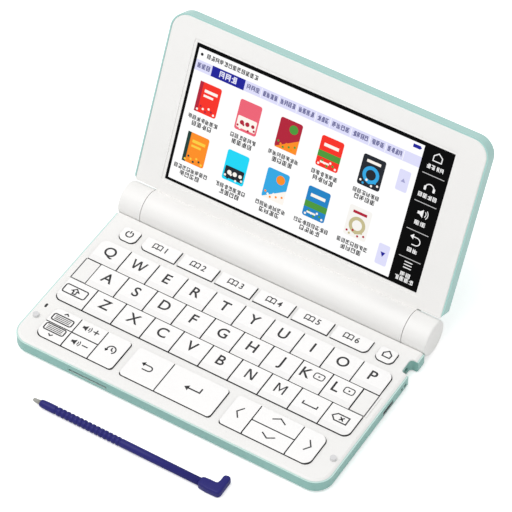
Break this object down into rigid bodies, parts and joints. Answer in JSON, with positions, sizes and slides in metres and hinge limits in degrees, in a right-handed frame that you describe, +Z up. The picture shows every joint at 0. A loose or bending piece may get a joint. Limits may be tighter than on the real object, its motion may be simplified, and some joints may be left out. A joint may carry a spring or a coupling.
{
  "type": "electronic dictionary",
  "caption": "Pocket electronic dictionary: clamshell with a QWERTY keyboard base, a touch-screen lid turning on a battery barrel, and a loose hooked stylus.",
  "frame": {"origin": "middle of the whole footprint on the table, stylus included", "axes": "+X to the right along the hinge, +Y from the front edge back to the hinge, +Z up"},
  "size_m": [0.148, 0.1536, 0.086],
  "materials": {
    "white_shell": "fine satin moulded plastic",
    "key_cap": "satin key plastic with printed legends",
    "mint_shell": "satin mint plastic",
    "navy_plastic": "navy moulded plastic with a grey tip",
    "panel_glass": "glossy touch panel over the display",
    "display_body": "thin metal display frame",
    "mat_rubber": "soft dark grey rubber",
    "grey_rubber": "grey rubber",
    "board": "green circuit board",
    "steel": "plain steel",
    "cell_jacket": "dark cell jacket"
  },
  "bodies": {
    "base": {"bottom_case": "mint_shell", "keyboard_deck": "white_shell", "key_mat": "mat_rubber", "main_board": "board", "feet_and_bumpers": "grey_rubber", "case_screws": "steel", "hinge_knuckles": "white_shell", "hinge_pins": "steel"},
    "lid": {"lid_back_case": "mint_shell", "lid_bezel": "white_shell", "touch_panel": "panel_glass", "lcd_module": "display_body", "battery_cells": "cell_jacket"},
    "battery_door": {"battery_door": "white_shell"},
    "stylus": {"stylus": "navy_plastic"},
    "key_power": {"key_power": "key_cap"},
    "key_home": {"key_home": "key_cap"},
    "key_index_1": {"key_index_1": "key_cap"},
    "key_index_2": {"key_index_2": "key_cap"},
    "key_index_3": {"key_index_3": "key_cap"},
    "key_index_4": {"key_index_4": "key_cap"},
    "key_index_5": {"key_index_5": "key_cap"},
    "key_index_6": {"key_index_6": "key_cap"},
    "key_q": {"key_q": "key_cap"},
    "key_w": {"key_w": "key_cap"},
    "key_e": {"key_e": "key_cap"},
    "key_r": {"key_r": "key_cap"},
    "key_t": {"key_t": "key_cap"},
    "key_y": {"key_y": "key_cap"},
    "key_u": {"key_u": "key_cap"},
    "key_i": {"key_i": "key_cap"},
    "key_o": {"key_o": "key_cap"},
    "key_p": {"key_p": "key_cap"},
    "key_a": {"key_a": "key_cap"},
    "key_s": {"key_s": "key_cap"},
    "key_d": {"key_d": "key_cap"},
    "key_f": {"key_f": "key_cap"},
    "key_g": {"key_g": "key_cap"},
    "key_h": {"key_h": "key_cap"},
    "key_j": {"key_j": "key_cap"},
    "key_k": {"key_k": "key_cap"},
    "key_l": {"key_l": "key_cap"},
    "key_shift": {"key_shift": "key_cap"},
    "key_z": {"key_z": "key_cap"},
    "key_x": {"key_x": "key_cap"},
    "key_c": {"key_c": "key_cap"},
    "key_v": {"key_v": "key_cap"},
    "key_b": {"key_b": "key_cap"},
    "key_n": {"key_n": "key_cap"},
    "key_m": {"key_m": "key_cap"},
    "key_space": {"key_space": "key_cap"},
    "key_delete": {"key_delete": "key_cap"},
    "key_page": {"key_page": "key_cap"},
    "key_volume": {"key_volume": "key_cap"},
    "key_history": {"key_history": "key_cap"},
    "key_back": {"key_back": "key_cap"},
    "key_enter": {"key_enter": "key_cap"},
    "key_left": {"key_left": "key_cap"},
    "key_up_down": {"key_up_down": "key_cap"},
    "key_right": {"key_right": "key_cap"}
  },
  "joints": [
    {"name": "lid_hinge", "type": "hinge", "parent": "base", "child": "lid", "pos_m": [0, 0.03216, 0.00845], "axis": [1, 0, 0], "range_deg": [-50, 117]},
    {"name": "battery_door_slide", "type": "slide", "parent": "lid", "child": "battery_door", "axis": [0, 0.9018, -0.4321], "range_m": [0, 0.02]},
    {"name": "stylus_lift", "type": "slide", "parent": "base", "child": "stylus", "axis": [0, 0, 1], "range_m": [0, 0.03]},
    {"name": "key_power_press", "type": "slide", "parent": "base", "child": "key_power", "axis": [0, 0, -1], "range_m": [0, 0.0006], "stiffness_N_per_m": 400},
    {"name": "key_home_press", "type": "slide", "parent": "base", "child": "key_home", "axis": [0, 0, -1], "range_m": [0, 0.0006], "stiffness_N_per_m": 400},
    {"name": "key_index_1_press", "type": "slide", "parent": "base", "child": "key_index_1", "axis": [0, 0, -1], "range_m": [0, 0.0006], "stiffness_N_per_m": 400},
    {"name": "key_index_2_press", "type": "slide", "parent": "base", "child": "key_index_2", "axis": [0, 0, -1], "range_m": [0, 0.0006], "stiffness_N_per_m": 400},
    {"name": "key_index_3_press", "type": "slide", "parent": "base", "child": "key_index_3", "axis": [0, 0, -1], "range_m": [0, 0.0006], "stiffness_N_per_m": 400},
    {"name": "key_index_4_press", "type": "slide", "parent": "base", "child": "key_index_4", "axis": [0, 0, -1], "range_m": [0, 0.0006], "stiffness_N_per_m": 400},
    {"name": "key_index_5_press", "type": "slide", "parent": "base", "child": "key_index_5", "axis": [0, 0, -1], "range_m": [0, 0.0006], "stiffness_N_per_m": 400},
    {"name": "key_index_6_press", "type": "slide", "parent": "base", "child": "key_index_6", "axis": [0, 0, -1], "range_m": [0, 0.0006], "stiffness_N_per_m": 400},
    {"name": "key_q_press", "type": "slide", "parent": "base", "child": "key_q", "axis": [0, 0, -1], "range_m": [0, 0.0006], "stiffness_N_per_m": 400},
    {"name": "key_w_press", "type": "slide", "parent": "base", "child": "key_w", "axis": [0, 0, -1], "range_m": [0, 0.0006], "stiffness_N_per_m": 400},
    {"name": "key_e_press", "type": "slide", "parent": "base", "child": "key_e", "axis": [0, 0, -1], "range_m": [0, 0.0006], "stiffness_N_per_m": 400},
    {"name": "key_r_press", "type": "slide", "parent": "base", "child": "key_r", "axis": [0, 0, -1], "range_m": [0, 0.0006], "stiffness_N_per_m": 400},
    {"name": "key_t_press", "type": "slide", "parent": "base", "child": "key_t", "axis": [0, 0, -1], "range_m": [0, 0.0006], "stiffness_N_per_m": 400},
    {"name": "key_y_press", "type": "slide", "parent": "base", "child": "key_y", "axis": [0, 0, -1], "range_m": [0, 0.0006], "stiffness_N_per_m": 400},
    {"name": "key_u_press", "type": "slide", "parent": "base", "child": "key_u", "axis": [0, 0, -1], "range_m": [0, 0.0006], "stiffness_N_per_m": 400},
    {"name": "key_i_press", "type": "slide", "parent": "base", "child": "key_i", "axis": [0, 0, -1], "range_m": [0, 0.0006], "stiffness_N_per_m": 400},
    {"name": "key_o_press", "type": "slide", "parent": "base", "child": "key_o", "axis": [0, 0, -1], "range_m": [0, 0.0006], "stiffness_N_per_m": 400},
    {"name": "key_p_press", "type": "slide", "parent": "base", "child": "key_p", "axis": [0, 0, -1], "range_m": [0, 0.0006], "stiffness_N_per_m": 400},
    {"name": "key_a_press", "type": "slide", "parent": "base", "child": "key_a", "axis": [0, 0, -1], "range_m": [0, 0.0006], "stiffness_N_per_m": 400},
    {"name": "key_s_press", "type": "slide", "parent": "base", "child": "key_s", "axis": [0, 0, -1], "range_m": [0, 0.0006], "stiffness_N_per_m": 400},
    {"name": "key_d_press", "type": "slide", "parent": "base", "child": "key_d", "axis": [0, 0, -1], "range_m": [0, 0.0006], "stiffness_N_per_m": 400},
    {"name": "key_f_press", "type": "slide", "parent": "base", "child": "key_f", "axis": [0, 0, -1], "range_m": [0, 0.0006], "stiffness_N_per_m": 400},
    {"name": "key_g_press", "type": "slide", "parent": "base", "child": "key_g", "axis": [0, 0, -1], "range_m": [0, 0.0006], "stiffness_N_per_m": 400},
    {"name": "key_h_press", "type": "slide", "parent": "base", "child": "key_h", "axis": [0, 0, -1], "range_m": [0, 0.0006], "stiffness_N_per_m": 400},
    {"name": "key_j_press", "type": "slide", "parent": "base", "child": "key_j", "axis": [0, 0, -1], "range_m": [0, 0.0006], "stiffness_N_per_m": 400},
    {"name": "key_k_press", "type": "slide", "parent": "base", "child": "key_k", "axis": [0, 0, -1], "range_m": [0, 0.0006], "stiffness_N_per_m": 400},
    {"name": "key_l_press", "type": "slide", "parent": "base", "child": "key_l", "axis": [0, 0, -1], "range_m": [0, 0.0006], "stiffness_N_per_m": 400},
    {"name": "key_shift_press", "type": "slide", "parent": "base", "child": "key_shift", "axis": [0, 0, -1], "range_m": [0, 0.0006], "stiffness_N_per_m": 400},
    {"name": "key_z_press", "type": "slide", "parent": "base", "child": "key_z", "axis": [0, 0, -1], "range_m": [0, 0.0006], "stiffness_N_per_m": 400},
    {"name": "key_x_press", "type": "slide", "parent": "base", "child": "key_x", "axis": [0, 0, -1], "range_m": [0, 0.0006], "stiffness_N_per_m": 400},
    {"name": "key_c_press", "type": "slide", "parent": "base", "child": "key_c", "axis": [0, 0, -1], "range_m": [0, 0.0006], "stiffness_N_per_m": 400},
    {"name": "key_v_press", "type": "slide", "parent": "base", "child": "key_v", "axis": [0, 0, -1], "range_m": [0, 0.0006], "stiffness_N_per_m": 400},
    {"name": "key_b_press", "type": "slide", "parent": "base", "child": "key_b", "axis": [0, 0, -1], "range_m": [0, 0.0006], "stiffness_N_per_m": 400},
    {"name": "key_n_press", "type": "slide", "parent": "base", "child": "key_n", "axis": [0, 0, -1], "range_m": [0, 0.0006], "stiffness_N_per_m": 400},
    {"name": "key_m_press", "type": "slide", "parent": "base", "child": "key_m", "axis": [0, 0, -1], "range_m": [0, 0.0006], "stiffness_N_per_m": 400},
    {"name": "key_space_press", "type": "slide", "parent": "base", "child": "key_space", "axis": [0, 0, -1], "range_m": [0, 0.0006], "stiffness_N_per_m": 400},
    {"name": "key_delete_press", "type": "slide", "parent": "base", "child": "key_delete", "axis": [0, 0, -1], "range_m": [0, 0.0006], "stiffness_N_per_m": 400},
    {"name": "key_page_rock", "type": "hinge", "parent": "base", "child": "key_page", "pos_m": [-0.05895, -0.04133, 0.007], "axis": [1, 0, 0], "range_deg": [-2.5, 2.5], "stiffness_Nm_per_rad": 0.02},
    {"name": "key_volume_rock", "type": "hinge", "parent": "base", "child": "key_volume", "pos_m": [-0.0462, -0.04133, 0.007], "axis": [1, 0, 0], "range_deg": [-2.5, 2.5], "stiffness_Nm_per_rad": 0.02},
    {"name": "key_history_press", "type": "slide", "parent": "base", "child": "key_history", "axis": [0, 0, -1], "range_m": [0, 0.0006], "stiffness_N_per_m": 400},
    {"name": "key_back_press", "type": "slide", "parent": "base", "child": "key_back", "axis": [0, 0, -1], "range_m": [0, 0.0006], "stiffness_N_per_m": 400},
    {"name": "key_enter_press", "type": "slide", "parent": "base", "child": "key_enter", "axis": [0, 0, -1], "range_m": [0, 0.0006], "stiffness_N_per_m": 400},
    {"name": "key_left_press", "type": "slide", "parent": "base", "child": "key_left", "axis": [0, 0, -1], "range_m": [0, 0.0006], "stiffness_N_per_m": 400},
    {"name": "key_up_down_rock", "type": "hinge", "parent": "base", "child": "key_up_down", "pos_m": [0.0428, -0.04133, 0.007], "axis": [1, 0, 0], "range_deg": [-2.5, 2.5], "stiffness_Nm_per_rad": 0.02},
    {"name": "key_right_press", "type": "slide", "parent": "base", "child": "key_right", "axis": [0, 0, -1], "range_m": [0, 0.0006], "stiffness_N_per_m": 400}
  ]
}
